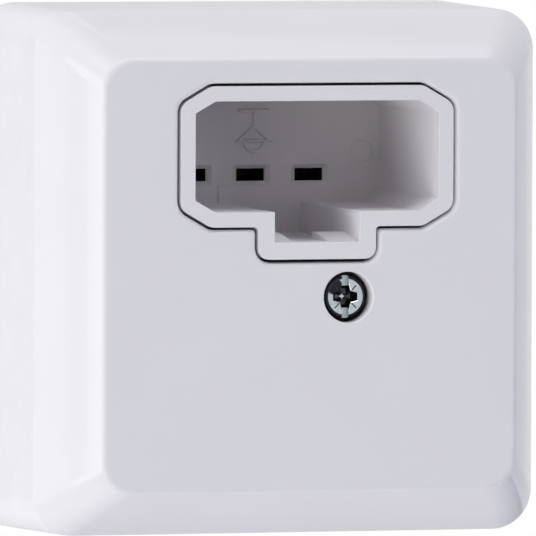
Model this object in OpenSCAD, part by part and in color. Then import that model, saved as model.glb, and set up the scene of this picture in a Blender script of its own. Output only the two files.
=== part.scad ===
// Surface-mounted lamp outlet: a bevelled square cover over a three-pole luminaire socket.
// Every piece is drawn lying on its back: x to the right, y up the wall, z out of the wall.
// upright() then stands it on the wall, with z up and the front towards -y.

/* [Cover] */
// Width and height of the cover where it meets the wall
body_w = 68.8; // [66:0.1:76]
// Distance from the wall to the flat front
body_depth = 36.8; // [34:0.1:42]
// Draft of the side walls, in degrees
side_draft = 0.95; // [0:0.05:2]
// Width of the sloping border, seen from the front
bevel_w = 6; // [4:0.1:7]
// Depth of the sloping border
bevel_depth = 11.1; // [8:0.1:14]
// Corner radius where the side walls meet the sloping border
body_corner_r = 6.3; // [5:0.1:9]
// Corner radius of the flat front
plate_corner_r = 4; // [2:0.1:6]
// Rise of the sloping border's crown above a straight slope
bevel_crown = 0.25; // [0.05:0.05:0.5]
// Rounding of the crease between the side walls and the border
rim_crease_r = 0.7; // [0.3:0.1:2]
// Rounding of the crease between the border and the flat front
plate_crease_r = 0.9; // [0.3:0.1:2]
// Thickness of the side walls
side_wall = 2.2; // [1.6:0.1:3]
// Thickness of the front wall
front_wall = 2.4; // [1.8:0.1:2.8]
// Rounding of the edge round the socket opening
lip_r = 0.7; // [0.2:0.1:1.2]
// Width of the knock-out for a surface cable
knockout_w = 9; // [7:0.5:12]
// Height of the knock-out above the wall
knockout_h = 10; // [8:0.5:12]
// Thickness left at the knock-out
knockout_web = 0.8; // [0.6:0.1:1.2]

/* [Socket] */
// Socket centre to the right of the middle of the cover
socket_x = 0.9; // [-1:0.1:2]
// Socket centre below the cover's upper edge
socket_edge = 19.04; // [18:0.01:19.4]
// Width of the plug cavity at its mouth
cavity_w = 33.04; // [32:0.02:34]
// Height of the plug cavity at its mouth, without the tab
cavity_h = 14.32; // [13.6:0.02:14.8]
// Width of the cut corners of the cavity
cut_w = 2.7; // [2:0.1:3.4]
// Slope of the cut corners, in degrees
cut_angle = 30; // [25:1:45]
// Width of the tab channel under the cavity
tab_w = 11.54; // [10.5:0.02:12.5]
// Drop of the tab channel below the cavity
tab_drop = 3.96; // [3.4:0.02:4.2]
// Depth of the cavity from the front to its floor
cavity_depth = 24.4; // [22:0.1:25]
// Draft of the cavity walls, in degrees
cavity_draft = 0.5; // [0:0.1:1]
// Thickness of the cavity floor
floor_t = 2; // [1.5:0.1:2.4]
// Height of the low step on the floor behind the tab channel
step_t = 0.3; // [0.1:0.05:0.5]
// Width of the socket's rim
rim_w = 1.95; // [1.7:0.05:2.2]
// Width of the rim round the tab
tab_rim_w = 2.2; // [1.9:0.05:2.4]
// Corner radius of the rim's outline
rim_corner_r = 1.8; // [0.6:0.1:2.2]
// Corner radius at the foot of the tab
tab_corner_r = 1.45; // [0.6:0.05:2]
// Corner radius where the tab's rim meets the rest
tab_root_r = 0.5; // [0.2:0.1:0.8]
// Gap between the rim and the cover
cover_gap = 0.32; // [0.2:0.02:0.5]
// Height of the two ramps in the tab channel
ramp_h = 1.05; // [0.6:0.05:1.4]
// Length of the ramps from the front
ramp_run = 6.4; // [5:0.1:8]
// Length of the level top behind a ramp
ramp_flat = 1.5; // [0.8:0.1:2.5]
// Width of the left ramp
left_ramp_w = 2.7; // [2:0.1:3.2]
// Width of the right ramp
right_ramp_w = 4; // [3:0.1:4.5]
// Wall of the contact chambers
chamber_wall = 1.1; // [0.9:0.1:1.2]
// Thickness of the housing's skirt behind the floor
skirt_wall = 1.6; // [1.2:0.1:2]

/* [Contacts] */
// Distance between neighbouring contact slots
pin_pitch = 8; // [7.8:0.1:8.4]
// Middle slot to the left of the socket centre
slot_shift = 1.19; // [0:0.01:1.4]
// Slots below the socket centre
slot_drop = 3.33; // [2.6:0.01:3.4]
// Width of a contact slot
slot_w = 3.85; // [3.2:0.05:4.2]
// Height of a contact slot
slot_h = 1.64; // [1.3:0.02:1.8]
// Width of the lead-in round a slot
funnel_w = 5.1; // [4.8:0.1:5.4]
// Height of the lead-in round a slot
funnel_h = 2.66; // [2.2:0.02:2.8]
// Depth of the lead-in round a slot
funnel_depth = 0.55; // [0.3:0.05:0.8]
// Thickness of the contact strips
strip_t = 0.6; // [0.4:0.05:0.7]
// Width of the contact strips
strip_w = 4; // [3.4:0.1:4.2]
// Distance between the two spring leaves where they pinch
leaf_pinch = 1.1; // [0.8:0.05:1.3]
// Distance between the two spring leaves at their root
leaf_spread = 4; // [3.4:0.1:4.2]
// Distance from the leaves' mouth to the cavity floor's back
leaf_sink = 1; // [0.4:0.1:1.4]
// Opening of each leaf's mouth beyond its pinch
leaf_flare = 0.7; // [0.4:0.1:0.9]
// Distance from the leaves' mouth back to their pinch
leaf_mouth = 2; // [1.5:0.1:2.4]
// Height of the leaves' shoulders above their root
leaf_shoulder = 1.4; // [1:0.1:1.8]
// Distance from the terminal to the bend in the contact's tail
tail_lead = 2; // [1.8:0.1:3]
// Length of the slope at that bend
tail_slope = 1.2; // [1:0.1:1.6]
// Distance from the end of the tail to the far end of the terminal
tail_end = 0.4; // [0.1:0.1:1]

/* [Terminals] */
// Terminal row below the cover screw
terminal_drop = 9.3; // [9.1:0.1:11]
// Width of a terminal
terminal_w = 6.2; // [5.8:0.1:6.4]
// Length of a terminal along the wire
terminal_len = 6; // [5.5:0.1:6.5]
// Thickness of a terminal's side and rear walls
terminal_wall = 0.9; // [0.7:0.1:1]
// Thickness of a terminal's threaded wall
terminal_thread_wall = 2.6; // [2:0.1:3]
// Height of the space for the wire, its plate and the strip
terminal_space = 4.6; // [4.2:0.1:5]
// Thickness of the plate that presses on the wire
wire_plate_t = 0.8; // [0.6:0.1:1]
// Room left for the wire
wire_room = 2.2; // [1.8:0.1:2.4]
// Shank diameter of a terminal screw
terminal_screw_d = 3.5; // [3:0.1:3.9]
// Head diameter of a terminal screw
terminal_head_d = 5; // [4.8:0.1:5.4]
// Head height of a terminal screw
terminal_head_h = 1.9; // [1.5:0.1:2.2]
// Height of the screw shafts above the heads
shaft_collar = 1.6; // [1:0.1:2.5]
// Distance from a wire plate's ends to the ends of its terminal
wire_plate_inset = 0.5; // [0.3:0.1:1]
// Thickness of the terminal block's end walls
block_end_wall = 1.2; // [1:0.1:1.5]
// Thickness of the block's bridge to the nut pillar
bridge_t = 4.4; // [3.6:0.1:5]
// Thickness of the nut pillar's gussets
gusset_t = 1.2; // [0.8:0.1:1.6]
// Distance from the nut down to the gussets
gusset_drop = 3; // [1:0.5:6]

/* [Cover screw] */
// Cover screw to the right of the middle of the cover
screw_x = 5.15; // [4.6:0.05:5.4]
// Cover screw below the socket centre
screw_drop = 18.26; // [18.2:0.02:18.8]
// Diameter of the well round the head
well_d = 6.6; // [6.4:0.1:6.8]
// Depth of the head's face below the front
head_sink = 1.3; // [0.8:0.1:1.6]
// Head diameter of the cover screw
head_d = 5.5; // [5.2:0.1:5.7]
// Head height of the cover screw
head_h = 2; // [1.8:0.1:2.4]
// Shank diameter of the cover screw
shank_d = 3; // [2.6:0.1:3.2]
// Length of the cover screw's shank
shank_len = 10; // [9:0.5:14]
// Width of the cover screw's driver slots
driver_w = 0.85; // [0.6:0.05:1.1]
// Length of the cover screw's two crossing slots
driver_cross = 3.6; // [3:0.1:4.2]
// Depth of the cover screw's two crossing slots
driver_depth = 1.2; // [0.8:0.1:1.4]
// Thickness of the seat under the head
seat_t = 1.8; // [1.5:0.1:2.5]
// Diameter of the boss round the well
boss_d = 9; // [8.8:0.1:9.2]
// Diameter of the pillar that holds the nut
pillar_d = 8.2; // [8:0.1:8.4]
// Width across the flats of the square nut
nut_w = 5.5; // [5:0.1:5.5]
// Thickness of the square nut
nut_t = 1.8; // [1.6:0.1:2.4]
// Distance from the pillar's top to the nut
nut_sink = 3; // [2.5:0.1:4]

/* [Base plate] */
// Thickness of the base plate
base_t = 2.4; // [2:0.1:3]
// Gap between the base plate and the cover
base_gap = 0.35; // [0.3:0.05:0.5]
// Height of the base plate's upstand above the plate
upstand_h = 4; // [3:0.5:6]
// Thickness of the upstand
upstand_t = 1.6; // [1.2:0.1:2]
// Thickness of the insulator behind the contacts
insulator_t = 1.6; // [1.2:0.1:2]
// Diameter of the wall screw holes
wall_hole_d = 4.4; // [4.2:0.1:5]
// Distance between the wall screw holes
wall_hole_pitch = 50; // [49:0.5:52]
// Wall screw holes below the middle
wall_hole_drop = 1; // [-1:0.5:3]
// Height of the raised rings round the wall screw holes
pad_h = 1.2; // [0.8:0.1:2]
// Width of the raised rings
pad_w = 2; // [1.5:0.1:2.5]
// Thickness of the base plate left under the fixing screws
fixing_foot = 0.8; // [0.6:0.1:1.2]
// Distance from the fixing screws down to the stiffening ribs
base_rib_gap = 7; // [6:0.5:8]
// Length of the stiffening ribs
base_rib_l = 4; // [3:0.5:5]
// Thickness of the stiffening ribs
base_rib_t = 1.2; // [0.8:0.1:1.6]
// Height of the stiffening ribs above the base plate
base_rib_h = 2.1; // [1.5:0.1:3]
// Diameter of the cable hole in the base plate
entry_d = 12; // [11:0.5:13]
// Cable hole to the left of the middle
entry_x = 12; // [10:0.5:14]
// Cable hole above the cover's lower edge
entry_edge = 10.4; // [10:0.1:10.9]
// Cable clamp to the right of the middle
clamp_x = 12; // [11:0.5:13]
// Cable clamp above the cover's lower edge
clamp_edge = 9.9; // [9.4:0.1:10.9]

/* [Small fixings] */
// Shank diameter of the fixing screws
fixing_d = 2.9; // [2.5:0.1:3]
// Head diameter of the fixing screws
fixing_head_d = 5.6; // [5.2:0.1:5.8]
// Head height of the fixing screws
fixing_head_h = 1.8; // [1.4:0.1:2.2]
// Diameter of the bosses under the fixing screws
fixing_boss_d = 6.4; // [6:0.1:6.8]
// Thickness of the fixing ears
ear_t = 2.5; // [2:0.1:3]
// Distance from the housing's side to its fixing screws
ear_reach = 4; // [3.6:0.1:4.4]
// Distance from the terminal block's side to its fixing screws
block_ear_reach = 3.9; // [3.6:0.1:4.4]
// Distance between the cable clamp's screws
clamp_pitch = 15; // [14:0.5:16]
// Width of the slots in the small screws
small_slot_w = 0.9; // [0.6:0.05:1.1]
// Height of the clamp's seats above the base plate
clamp_seat_h = 3.6; // [3:0.1:4.5]
// Thickness of the clamp bar
clamp_t = 2; // [1.6:0.1:2.4]
// Width of the clamp bar along the cable
clamp_w = 6; // [5:0.5:7]
// Rise of the clamp bar's arch
clamp_rise = 1.8; // [1:0.1:2.5]
// Width of the arch at its foot
clamp_arch_w = 8.4; // [7.6:0.2:9]
// Width of the arch's flat top
clamp_top_w = 4.8; // [4:0.2:5.4]
// Outer flange of the cable grommet beyond its hole
grommet_flange = 1.5; // [1:0.1:2]
// Thickness of the grommet's flange
grommet_t = 1.2; // [0.8:0.1:1.6]
// Hole in the grommet
grommet_hole_d = 7; // [6.5:0.1:8]
// Thickness of the grommet's lip at the cable
grommet_lip_t = 1; // [0.6:0.1:1.4]
// Thickness of the grommet's wall in the cable hole
grommet_wall = 1.2; // [0.8:0.1:1.5]

/* [Clearances] */
// Play between loose pieces
play = 0.1; // [0.05:0.05:0.2]
// Play round screw shanks in their threads
thread_play = 0.03; // [0.02:0.01:0.05]

/* [Hidden] */

// Fineness of round parts
$fn = 48;
corner_steps = 8;
arc_steps = 4;
crown_steps = 4;
// Shares of a screw head's height: depth of its slot and rounding of its edge
slot_share = 0.45;
edge_share = 0.2;
// Overrun of a cut past a face
cut = 1;

// Colours
cover_white = [0.91, 0.91, 0.94];
socket_white = [0.9, 0.9, 0.92];
inner_grey = [0.62, 0.63, 0.65];
zinc = [0.66, 0.68, 0.72];
brass = [0.8, 0.65, 0.33];
rubber = [0.35, 0.35, 0.36];

// Cover, worked out from its driving sizes
rim_z = body_depth - bevel_depth;
rim_half = side_half(rim_z);
plate_half = rim_half - bevel_w;
bevel_angle = atan(bevel_w / bevel_depth);
inner_rim_half = rim_half - side_wall;
inner_rim_z = rim_z - side_wall * tan(bevel_angle / 2);
inner_front_z = body_depth - front_wall;
inner_plate_half = inner_rim_half - (inner_front_z - inner_rim_z) * bevel_w / bevel_depth;

// Socket heights above the middle and depths from the wall
socket_y = body_w / 2 - socket_edge;
cavity_top = socket_y + cavity_h / 2;
cavity_bottom = socket_y - cavity_h / 2;
tab_bottom = cavity_bottom - tab_drop;
floor_z = body_depth - cavity_depth;
floor_back_z = floor_z - floor_t;
seat_z = base_t + insulator_t;
slot_y = socket_y - slot_drop;
slot_x = [for (i = [-1:1]) socket_x - slot_shift + i * pin_pitch];
chamber_w = strip_w + 4 * play;
chamber_h = leaf_spread + 2 * strip_t + 6 * play;

// Terminals
screw_y = socket_y - screw_drop;
terminal_y = screw_y - terminal_drop;
terminal_top = terminal_y + terminal_len / 2;
terminal_foot = terminal_y - terminal_len / 2;
terminal_h = terminal_wall + terminal_space + terminal_thread_wall;
wire_plate_z = seat_z + terminal_wall + strip_t + wire_room;
terminal_front_z = seat_z + terminal_h;
head_seat_z = terminal_front_z + 3 * play;
block_wall = (pin_pitch - terminal_w) / 2 - play;
block_half = pin_pitch + terminal_w / 2 + play + 2 * block_wall;
block_mid_x = slot_x[1];
block_front_z = head_seat_z + terminal_head_h + shaft_collar;
block_top_y = tab_bottom - tab_rim_w - 6 * play;
block_foot_y = terminal_foot - play - block_end_wall;

// Cover screw
head_face_z = body_depth - head_sink;
head_under_z = head_face_z - head_h;
pillar_z = head_under_z - seat_t;
nut_z = pillar_z - nut_sink - nut_t;
shank_room_z = head_under_z - shank_len - 6 * play;

// Fixings
housing_half = cavity_w / 2 + rim_w;
ear_x = [for (s = [-1, 1]) socket_x + s * (housing_half + ear_reach)];
block_ear_x = [for (s = [-1, 1]) block_mid_x + s * (block_half + block_ear_reach)];
ear_y = socket_y;
block_ear_y = terminal_y;
fixing_points = concat([for (x = ear_x) [x, ear_y]], [for (x = block_ear_x) [x, block_ear_y]]);
entry_y = entry_edge - body_w / 2;
clamp_y = clamp_edge - body_w / 2;
clamp_seat_z = base_t + clamp_seat_h;
clamp_points = [for (s = [-1, 1]) [clamp_x + s * clamp_pitch / 2, clamp_y]];
base_half = body_w / 2 - side_wall - base_gap - (base_t + upstand_h) * tan(side_draft);
base_corner_r = body_corner_r - side_wall;
wall_hole_x = [-wall_hole_pitch / 2, wall_hole_pitch / 2];
wall_hole_y = -wall_hole_drop;

function side_half(z) = body_w / 2 - z * tan(side_draft);

function unit(v) = v / norm(v);

function turned(v, a) = [v.x * cos(a) - v.y * sin(a), v.x * sin(a) + v.y * cos(a)];

// Arc that rounds the corner p between its neighbours a and b
function corner_arc(a, p, b, r, steps) =
    let (u = unit(a - p), v = unit(b - p),
         inside = acos(u * v),
         centre = p + unit(u + v) * r / sin(inside / 2),
         start = p + u * r / tan(inside / 2) - centre,
         turn = (cross(p - a, b - p) > 0 ? 1 : -1) * (180 - inside))
    [for (i = [0:steps]) centre + turned(start, turn * i / steps)];

// Closed outline with a radius at each corner
function rounded(points, radii, steps) =
    let (n = len(points))
    [for (i = [0:n - 1])
        each corner_arc(points[(i + n - 1) % n], points[i], points[(i + 1) % n], radii[i], steps)];

// Square outline with rounded corners
function rounded_square(half, r) =
    rounded([[half, -half], [half, half], [-half, half], [-half, -half]], [r, r, r, r], corner_steps);

function lifted(outline, z) = [for (p = outline) [p.x, p.y, z]];

// Strip of even thickness along an open path, as a closed outline
function band_side(path, t) =
    let (n = len(path))
    [for (i = [0:n - 1])
        let (u = unit(path[min(i + 1, n - 1)] - path[min(i, n - 2)]),
             v = unit(path[max(i, 1)] - path[max(i - 1, 0)]),
             m = unit(turned(u, 90) + turned(v, 90)))
        path[i] + m * t / (m * turned(u, 90))];

function band(path, t) =
    let (right = band_side(path, -t / 2), left = band_side(path, t / 2), n = len(path))
    concat(right, [for (i = [0:n - 1]) left[n - 1 - i]]);

// Cut-cornered outline of the plug cavity, grown outwards, from its lower right corner
function cavity_outline(grow) =
    let (x = cavity_w / 2 + grow,
         top = cavity_top + grow,
         low = cavity_bottom - grow,
         cx = cut_w + grow * (1 - tan(cut_angle / 2)),
         cy = cx * tan(cut_angle))
    [for (p = [[x - cx, low], [x, low + cy], [x, top - cy], [x - cx, top],
               [-x + cx, top], [-x, top - cy], [-x, low + cy], [-x + cx, low]]) p + [socket_x, 0]];

// Rectangle of the tab channel, grown outwards, up to a given height
function tab_outline(grow, high) =
    let (x = tab_w / 2 + grow, foot = tab_bottom - grow)
    [for (p = [[-x, high], [-x, foot], [x, foot], [x, high]]) p + [socket_x, 0]];

// T-shaped outline of the socket: the cavity with its tab
function socket_outline(grow, tab_grow) =
    let (tab = tab_outline(tab_grow, cavity_bottom - grow))
    concat([tab[1], tab[2], tab[3]], cavity_outline(grow), [tab[0]]);

// The same outline with its corners rounded: tab foot, tab root and cut corners
function soft_socket_outline(grow, tab_grow, foot_r, root_r, cut_r) =
    rounded(socket_outline(grow, tab_grow),
            [foot_r, foot_r, root_r, cut_r, cut_r, cut_r, cut_r, cut_r, cut_r, cut_r, cut_r, root_r],
            arc_steps);

rim_outline = soft_socket_outline(rim_w, tab_rim_w, tab_corner_r, tab_root_r, rim_corner_r);

// Solid through rings of equal point count, from the lowest to the highest
module loft(rings) {
    n = len(rings[0]);
    m = len(rings);
    sides = [for (k = [0:m - 2], i = [0:n - 1])
        let (a = k * n + i, b = k * n + (i + 1) % n)
        each [[a, a + n, b + n], [a, b + n, b]]];
    foot = [for (i = [0:n - 1]) i];
    lid = [for (i = [n - 1:-1:0]) (m - 1) * n + i];
    polyhedron(points = [for (r = rings) each r], faces = concat([foot], sides, [lid]), convexity = 6);
}

// Stands a piece on the wall
module upright() rotate([90, 0, 0]) children();

// Extrudes an outline of [up, out] points to the right, centred on x
module across(x, w) translate([x - w / 2, 0, 0]) rotate([90, 0, 90]) linear_extrude(w) children();

module post(x, y, z, d, h) translate([x, y, z]) cylinder(d = d, h = h);

module block(x, y, z, w, h, t) translate([x - w / 2, y - h / 2, z]) cube([w, h, t]);

// Crowned slope between two points, without its ends
function crowned(a, b, rise) =
    let (out = turned(unit(b - a), -90))
    [for (i = [1:crown_steps - 1])
        let (t = i / crown_steps) a + (b - a) * t + out * rise * 4 * t * (1 - t)];

// Profile of the cover as [half width, height] pairs, from the wall to the flat
function cover_profile() =
    let (foot = [side_half(0), 0],
         rim = [rim_half, rim_z],
         plate = [plate_half, body_depth],
         rim_arc = corner_arc(foot, rim, plate, rim_crease_r, arc_steps),
         plate_arc = corner_arc(rim, plate, [0, body_depth], plate_crease_r, arc_steps))
    concat([foot], rim_arc, crowned(rim_arc[arc_steps], plate_arc[0], bevel_crown), plate_arc);

// Corner radius of the cover at a given half width
function ring_r(half) = plate_corner_r + (body_corner_r - plate_corner_r) * (half - plate_half) / bevel_w;

module cover_outside()
    loft([for (p = cover_profile())
        lifted(rounded_square(p.x, ring_r(p.x)), p.y)]);

module cover_inside()
    loft([for (p = [[side_half(-cut) - side_wall, -cut], [inner_rim_half, inner_rim_z],
                    [inner_plate_half, inner_front_z]])
        lifted(rounded_square(p.x, ring_r(p.x + side_wall) - side_wall), p.y)]);

// Socket opening with a rounded front edge
module cover_opening() {
    grow = rim_w + cover_gap;
    tab_grow = tab_rim_w + cover_gap;
    lips = [for (a = [90:-30:0]) [lip_r * (1 - sin(a)), body_depth - lip_r * (1 - cos(a))]];
    rings = concat([[0, inner_front_z - cut]], lips, [[lip_r, body_depth + cut]]);
    loft([for (p = rings)
        lifted(soft_socket_outline(grow + p.x, tab_grow + p.x, tab_corner_r + cover_gap + p.x,
                                   tab_root_r, rim_corner_r + cover_gap), p.y)]);
}

module cover() upright() color(cover_white) difference() {
    union() {
        difference() {
            cover_outside();
            cover_inside();
        }
        post(screw_x, screw_y, pillar_z, boss_d, inner_front_z - pillar_z + cut / 2);
    }
    cover_opening();
    post(screw_x, screw_y, head_under_z, well_d, body_depth);
    post(screw_x, screw_y, pillar_z - cut, shank_d + 4 * play, body_depth);
    knockout_groove();
}

// Thinned patch in the lower wall, broken out for a surface cable
module knockout_groove()
    block(clamp_x, knockout_web - side_half(0) + side_wall / 2, -cut,
          knockout_w, side_wall, knockout_h + cut);

// Screw standing on its head's underside at z, with a slot and a rounded head edge
module slotted_screw(x, y, z, d, len, head_d, head_h, slot_w) {
    edge = head_h * edge_share;
    translate([x, y, z]) difference() {
        rotate_extrude() polygon(concat(
            [[0, -len], [d / 2 - edge, -len], [d / 2, edge - len], [d / 2, 0], [head_d / 2, 0]],
            [for (i = [0:arc_steps]) let (a = 90 * i / arc_steps)
                [head_d / 2 - edge * (1 - cos(a)), head_h - edge * (1 - sin(a))]],
            [[0, head_h]]));
        translate([-slot_w / 2, -head_d, head_h * (1 - slot_share)]) cube([slot_w, 2 * head_d, head_h]);
    }
}

module cover_screw() upright() color(zinc) difference() {
    slotted_screw(screw_x, screw_y, head_under_z, shank_d, shank_len, head_d, head_h, driver_w);
    for (a = [0, 90]) translate([screw_x, screw_y, head_face_z]) rotate([0, 0, a])
        block(0, 0, -driver_depth, driver_cross, driver_w, head_h);
}

module cover_nut() upright() color(zinc) difference() {
    block(screw_x, screw_y, nut_z, nut_w, nut_w, nut_t);
    post(screw_x, screw_y, nut_z - cut, shank_d + 2 * thread_play, nut_t + 2 * cut);
}

// Plug cavity and tab channel, drafted from the mouth down
module plug_cavity() {
    loft([for (z = [floor_z, body_depth + cut]) lifted(cavity_outline(draft_at(z)), z)]);
    loft([for (z = [floor_z, body_depth + cut]) lifted(tab_outline(draft_at(z), socket_y), z)]);
}

// Low step on the floor, as wide as the tab channel, that reaches up to the slots' lead-ins
module floor_step() {
    foot = tab_bottom - cut / 2;
    top = slot_y - funnel_h / 2;
    block(socket_x, (foot + top) / 2, floor_z - floor_t / 2, tab_w, top - foot, floor_t / 2 + step_t);
}

function draft_at(z) = (z - body_depth) * tan(cavity_draft);

// Ramp on the floor of the tab channel that rises towards the back, rooted in one side wall
module tab_ramp(side, w) {
    foot = tab_bottom - cut / 2;
    root = cut / 2;
    crest = tab_bottom + ramp_h;
    front = body_depth - cut / 2;
    far = body_depth - ramp_run;
    across(socket_x + side * (tab_w - w + root) / 2, w + root)
        polygon([[foot, front], [tab_bottom, front], [crest, far],
                 [crest, far - ramp_flat], [foot, far - ramp_flat]]);
}

// Slot with its sloping lead-in
module contact_slot(x) {
    block(x, slot_y, floor_back_z - cut, slot_w, slot_h, floor_t + 2 * cut);
    loft([for (p = [[slot_w, slot_h, -funnel_depth], [funnel_w, funnel_h, 0], [funnel_w, funnel_h, cut]])
        let (w = p[0] / 2, h = p[1] / 2)
        [for (s = [[-w, -h], [w, -h], [w, h], [-w, h]]) [x + s.x, slot_y + s.y, floor_z + p[2]]]]);
}

// Fixing ear from a side wall out to a screw
module ear(x, y, wall_x) {
    difference() {
        union() {
            post(x, y, seat_z, fixing_boss_d, ear_t);
            block((x + wall_x) / 2, y, seat_z, abs(x - wall_x), fixing_boss_d, ear_t);
        }
        post(x, y, seat_z - cut, fixing_d + 4 * play, ear_t + 2 * cut);
    }
}

module socket_housing() upright() color(socket_white) {
    difference() {
        union() {
            translate([0, 0, seat_z]) linear_extrude(body_depth - seat_z) polygon(rim_outline);
            for (i = [0, 1])
                ear(ear_x[i], ear_y, socket_x + (2 * i - 1) * (housing_half - skirt_wall / 2));
        }
        plug_cavity();
        rear_hollow();
        for (x = slot_x) {
            contact_slot(x);
            block(x, slot_y, seat_z - cut, chamber_w, chamber_h, floor_back_z - seat_z + cut);
            strip_way(x, slot_y);
        }
    }
    floor_step();
    tab_ramp(-1, left_ramp_w);
    tab_ramp(1, right_ramp_w);
}

// Hollow behind the floor, with the contact chambers left standing in it
module rear_hollow() difference() {
    translate([0, 0, seat_z - cut]) linear_extrude(floor_back_z - seat_z + cut)
        polygon(socket_outline(rim_w - skirt_wall, tab_rim_w - skirt_wall));
    block(block_mid_x, slot_y, 0, 2 * pin_pitch + chamber_w + 2 * chamber_wall,
          chamber_h + 2 * chamber_wall, body_depth);
}

// Way down for a contact's strip under a moulded piece
module strip_way(x, top)
    translate([x - strip_w / 2 - 2 * play, terminal_top, seat_z - cut])
        cube([strip_w + 4 * play, top - terminal_top, terminal_wall + strip_t + 3 * play + cut]);

// Plate behind the contacts, under the housing and the terminal block
module rear_insulator() upright() color(inner_grey) translate([0, 0, base_t]) linear_extrude(insulator_t) {
    polygon(rim_outline);
    translate([block_mid_x - block_half, block_foot_y])
        square([2 * block_half, block_top_y + tab_rim_w + cut - block_foot_y]);
}

// Formed contact strip: a spring clip behind the slot, and a tail that runs down to the terminal
module contact(x) upright() color(brass) {
    root = seat_z + strip_t / 2;
    mouth = floor_back_z - leaf_sink;
    pinch = mouth - leaf_mouth;
    shoulder = root + leaf_shoulder;
    spread = leaf_spread / 2;
    tight = (leaf_pinch + strip_t) / 2;
    flare = tight + leaf_flare;
    tail_z = seat_z + terminal_wall + strip_t / 2 + play / 2;
    across(x, strip_w) polygon(band([[slot_y + flare, mouth], [slot_y + tight, pinch],
        [slot_y + spread, shoulder], [slot_y + spread, root],
        [terminal_top + tail_lead, root], [terminal_top + tail_lead - tail_slope, tail_z],
        [terminal_foot + tail_end, tail_z]], strip_t));
    across(x, strip_w) polygon(band([[slot_y - flare, mouth], [slot_y - tight, pinch],
        [slot_y - spread, shoulder], [slot_y - spread, root]], strip_t));
}

module contact_live() contact(slot_x[0]);

module contact_neutral() contact(slot_x[2]);

module contact_earth() contact(slot_x[1]);

// Brass terminal: a rectangular tube for the wire with a threaded front wall
module terminal(x) upright() color(brass) difference() {
    block(x, terminal_y, seat_z, terminal_w, terminal_len, terminal_h);
    block(x, terminal_y, seat_z + terminal_wall, terminal_w - 2 * terminal_wall,
          terminal_len + 2 * cut, terminal_space);
    post(x, terminal_y, seat_z + terminal_wall + cut, terminal_screw_d + 2 * thread_play, terminal_h);
}

module terminal_live() terminal(slot_x[0]);

module terminal_neutral() terminal(slot_x[2]);

module terminal_earth() terminal(slot_x[1]);

module wire_plate(x) upright() color(zinc)
    block(x, terminal_y, wire_plate_z, terminal_w - 2 * terminal_wall - 2 * play,
          terminal_len - 2 * wire_plate_inset, wire_plate_t);

module wire_plate_live() wire_plate(slot_x[0]);

module wire_plate_neutral() wire_plate(slot_x[2]);

module wire_plate_earth() wire_plate(slot_x[1]);

module terminal_screws() upright() color(zinc)
    for (x = slot_x)
        slotted_screw(x, terminal_y, head_seat_z, terminal_screw_d,
                      head_seat_z - wire_plate_z - wire_plate_t, terminal_head_d, terminal_head_h,
                      small_slot_w);

// Moulded block with three terminal bays, screw shafts, wire entries and the nut pillar
module terminal_block() upright() color(inner_grey) {
    bay_h = terminal_len + 2 * play;
    difference() {
        union() {
            block_body(block_foot_y, terminal_top + play + block_end_wall, block_front_z);
            block_body(terminal_top, block_top_y, seat_z + bridge_t);
            post(screw_x, screw_y, seat_z, pillar_d, pillar_z - seat_z);
            pillar_ribs();
            for (i = [0, 1])
                ear(block_ear_x[i], block_ear_y, block_mid_x + (2 * i - 1) * (block_half - block_wall));
        }
        for (x = slot_x) {
            block(x, terminal_y, seat_z - cut, terminal_w + 2 * play, bay_h, terminal_h + play + cut);
            post(x, terminal_y, seat_z, terminal_head_d + 6 * play, block_front_z);
            strip_way(x, block_top_y + cut);
            wire_entry(x);
        }
        post(screw_x, screw_y, shank_room_z, shank_d + 3 * play, pillar_z);
        nut_pocket();
    }
}

module block_body(low, high, front)
    translate([block_mid_x - block_half, low, seat_z]) cube([2 * block_half, high - low, front - seat_z]);

// Two gussets from the terminal bays to the nut pillar
module pillar_ribs()
    for (s = [-1, 1]) across(screw_x + s * (pillar_d / 2 - gusset_t), gusset_t)
        polygon([[terminal_top, seat_z], [terminal_top, block_front_z],
                 [screw_y - pillar_d / 4, nut_z - gusset_drop], [screw_y, seat_z]]);

// Slot for the square nut, open towards the terminals
module nut_pocket()
    translate([screw_x - nut_w / 2 - play, screw_y - pillar_d, nut_z - play])
        cube([nut_w + 2 * play, pillar_d + nut_w / 2 + play, nut_t + 2 * play]);

// Way in for a wire, from below
module wire_entry(x)
    translate([x, block_foot_y - cut, seat_z + terminal_wall + terminal_space / 2])
        rotate([-90, 0, 0]) cylinder(d = terminal_w - 2 * terminal_wall - 2 * play, h = terminal_len);

module fixing_screws() upright() color(zinc)
    for (p = fixing_points)
        slotted_screw(p.x, p.y, seat_z + ear_t, fixing_d, seat_z + ear_t - fixing_foot,
                      fixing_head_d, fixing_head_h, small_slot_w);

// Base plate with its upstand, bosses, wall holes and cable hole
module base_plate() upright() color(inner_grey) difference() {
    union() {
        linear_extrude(base_t) polygon(rounded_square(base_half, base_corner_r));
        base_upstand();
        for (p = fixing_points) post(p.x, p.y, 0, fixing_boss_d, seat_z);
        for (p = clamp_points) post(p.x, p.y, 0, fixing_boss_d, clamp_seat_z);
        for (x = wall_hole_x) post(x, wall_hole_y, 0, wall_hole_d + 2 * pad_w, base_t + pad_h);
        base_ribs();
    }
    for (p = fixing_points) post(p.x, p.y, fixing_foot - play, fixing_d + 2 * thread_play, seat_z);
    for (p = clamp_points) post(p.x, p.y, fixing_foot - play, fixing_d + 2 * thread_play, clamp_seat_z);
    for (x = wall_hole_x) post(x, wall_hole_y, -cut, wall_hole_d, base_t + pad_h + 2 * cut);
    post(-entry_x, entry_y, -cut, entry_d, base_t + 2 * cut);
    block(clamp_x, -base_half, base_t, knockout_w + 2, 4 * upstand_t, upstand_h + cut);
}

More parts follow.
